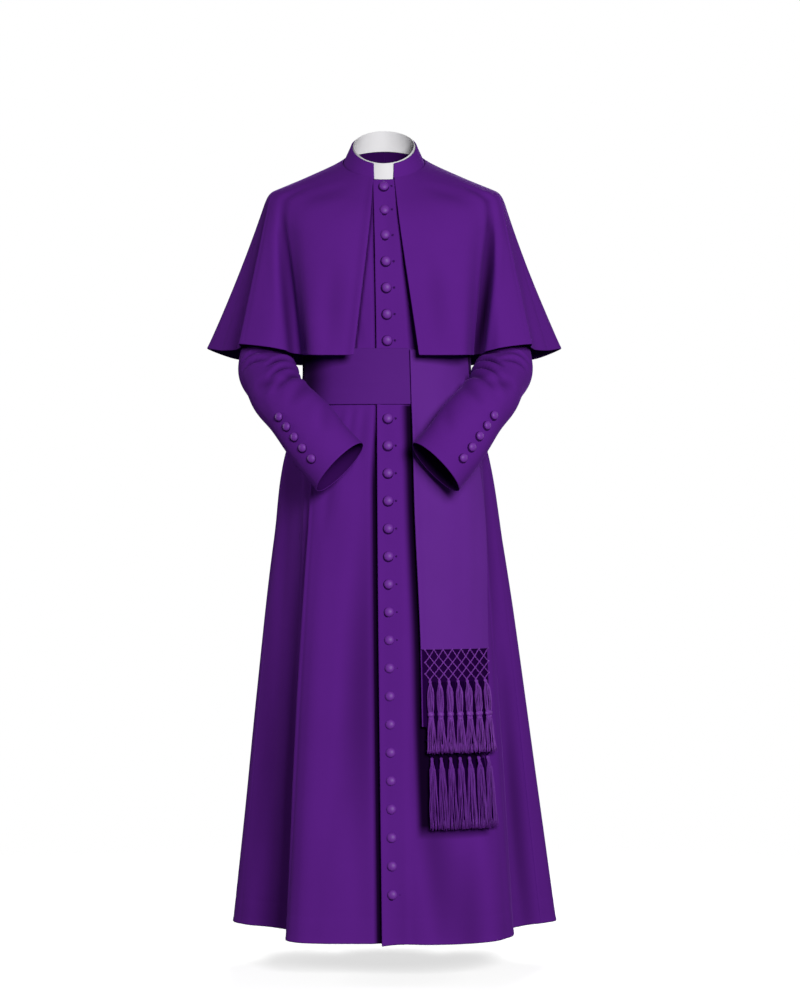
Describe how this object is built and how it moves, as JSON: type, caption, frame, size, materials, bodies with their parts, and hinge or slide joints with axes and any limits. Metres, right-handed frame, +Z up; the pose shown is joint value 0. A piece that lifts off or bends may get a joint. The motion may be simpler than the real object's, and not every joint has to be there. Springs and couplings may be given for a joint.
{
  "type": "worn cassock with shoulder cape and fringed sash",
  "caption": "Hollow buttoned cassock as worn, hands together in front, with a standing collar and white insert, open shoulder cape and a sash with two tasselled falls.",
  "frame": {"origin": "centre of the neckline, level with the tops of the shoulders, where the wearer carries the garment", "axes": "+Z up, -Y out of the buttoned front, +X towards the wearer's left arm and the sash's falls"},
  "size_m": [0.6685, 0.5652, 1.4892],
  "materials": {
    "wool": "smooth purple wool blend, fine matt weave with a soft sheen",
    "sash_silk": "purple sash cloth, a little smoother than the wool",
    "fringe_silk": "purple twisted rayon cord and yarn",
    "button_wool": "cloth-covered buttons",
    "white_insert": "smooth white band"
  },
  "bodies": {
    "root": {"back_left": "wool", "back_right": "wool", "button_cuff_left_1": "button_wool", "button_cuff_left_2": "button_wool", "button_cuff_left_3": "button_wool", "button_cuff_left_4": "button_wool", "button_cuff_left_5": "button_wool", "button_cuff_right_1": "button_wool", "button_cuff_right_2": "button_wool", "button_cuff_right_3": "button_wool", "button_cuff_right_4": "button_wool", "button_cuff_right_5": "button_wool", "button_front_01": "button_wool", "button_front_02": "button_wool", "button_front_03": "button_wool", "button_front_04": "button_wool", "button_front_05": "button_wool", "button_front_06": "button_wool", "button_front_07": "button_wool", "button_front_10": "button_wool", "button_front_11": "button_wool", "button_front_12": "button_wool", "button_front_13": "button_wool", "button_front_14": "button_wool", "button_front_15": "button_wool", "button_front_16": "button_wool", "button_front_17": "button_wool", "button_front_18": "button_wool", "button_front_19": "button_wool", "button_front_20": "button_wool", "button_front_21": "button_wool", "button_front_22": "button_wool", "button_front_23": "button_wool", "button_front_24": "button_wool", "button_front_25": "button_wool", "button_front_26": "button_wool", "button_front_27": "button_wool", "cape_back": "wool", "cape_front_left": "wool", "cape_front_right": "wool", "collar": "wool", "collar_insert": "white_insert", "front_left": "wool", "front_right": "wool", "sash_band": "sash_silk", "sash_fall_front": "sash_silk", "sash_fall_rear": "sash_silk", "sash_fringe_front": "fringe_silk", "sash_fringe_rear": "fringe_silk", "sleeve_top_left": "wool", "sleeve_top_right": "wool", "sleeve_under_left": "wool", "sleeve_under_right": "wool"}
  },
  "joints": []
}
